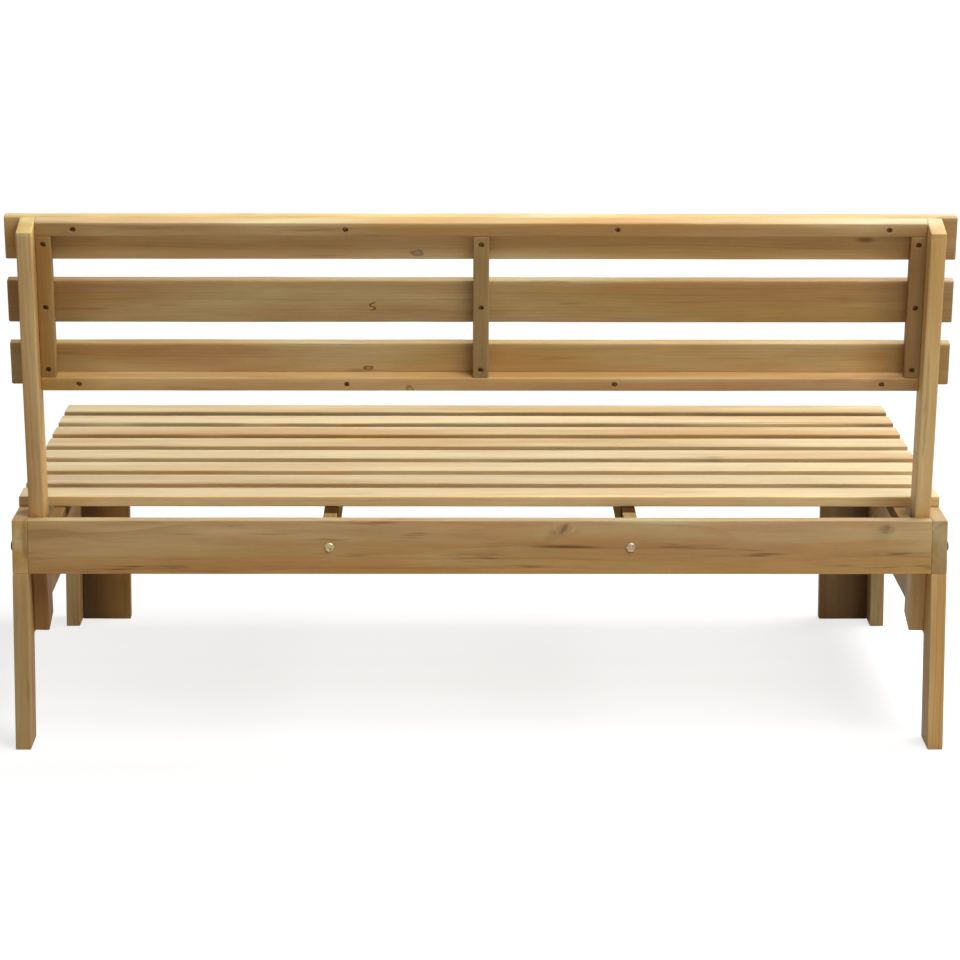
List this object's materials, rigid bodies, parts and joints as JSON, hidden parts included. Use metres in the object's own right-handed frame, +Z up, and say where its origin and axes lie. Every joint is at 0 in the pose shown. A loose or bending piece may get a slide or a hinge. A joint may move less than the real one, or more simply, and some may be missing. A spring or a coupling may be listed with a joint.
{
  "type": "pallet bench",
  "caption": "Armless slatted wooden pallet bench with a deep low seat on bolted rails, plank legs and a reclined slatted back.",
  "frame": {"origin": "on the floor, below the middle of the outer box", "axes": "+Z up, +Y towards the back of the bench, +X towards the right as seen from the front"},
  "size_m": [1.506, 1.0324, 0.8768],
  "materials": {
    "seat_wood": "oiled, satin",
    "back_wood": "oiled, satin",
    "frame_wood": "oiled, satin",
    "inner_wood": "oiled, satin",
    "dowel_wood": "bare, matte",
    "bolt_steel": "zinc plated, satin",
    "screw_steel": "zinc plated, satin"
  },
  "bodies": {
    "root": {"side_rail_left": "frame_wood", "side_rail_right": "frame_wood", "rear_apron": "frame_wood", "front_apron": "frame_wood", "rear_leg_left": "frame_wood", "rear_leg_right": "frame_wood", "front_leg_left": "frame_wood", "front_leg_right": "frame_wood", "front_leg_face_left": "frame_wood", "front_leg_face_right": "frame_wood", "lower_side_board_left": "frame_wood", "lower_side_board_right": "frame_wood", "back_post_left": "back_wood", "back_post_right": "back_wood", "seat_bearer_left": "inner_wood", "seat_bearer_right": "inner_wood", "seat_end_batten_left": "inner_wood", "seat_end_batten_right": "inner_wood", "seat_slat_1": "seat_wood", "seat_slat_2": "seat_wood", "seat_slat_3": "seat_wood", "seat_slat_4": "seat_wood", "seat_slat_5": "seat_wood", "seat_slat_6": "seat_wood", "seat_slat_7": "seat_wood", "seat_slat_8": "seat_wood", "back_slat_top": "back_wood", "back_slat_middle": "back_wood", "back_slat_bottom": "back_wood", "back_top_rail": "back_wood", "back_bottom_rail": "back_wood", "back_batten_left": "back_wood", "back_batten_centre": "back_wood", "back_batten_right": "back_wood", "frame_bolts": "bolt_steel", "barrel_nuts": "bolt_steel", "post_washers": "bolt_steel", "post_nuts": "bolt_steel", "seat_screws": "screw_steel", "back_screws": "screw_steel", "panel_screws": "screw_steel", "frame_dowels": "dowel_wood"}
  },
  "joints": []
}
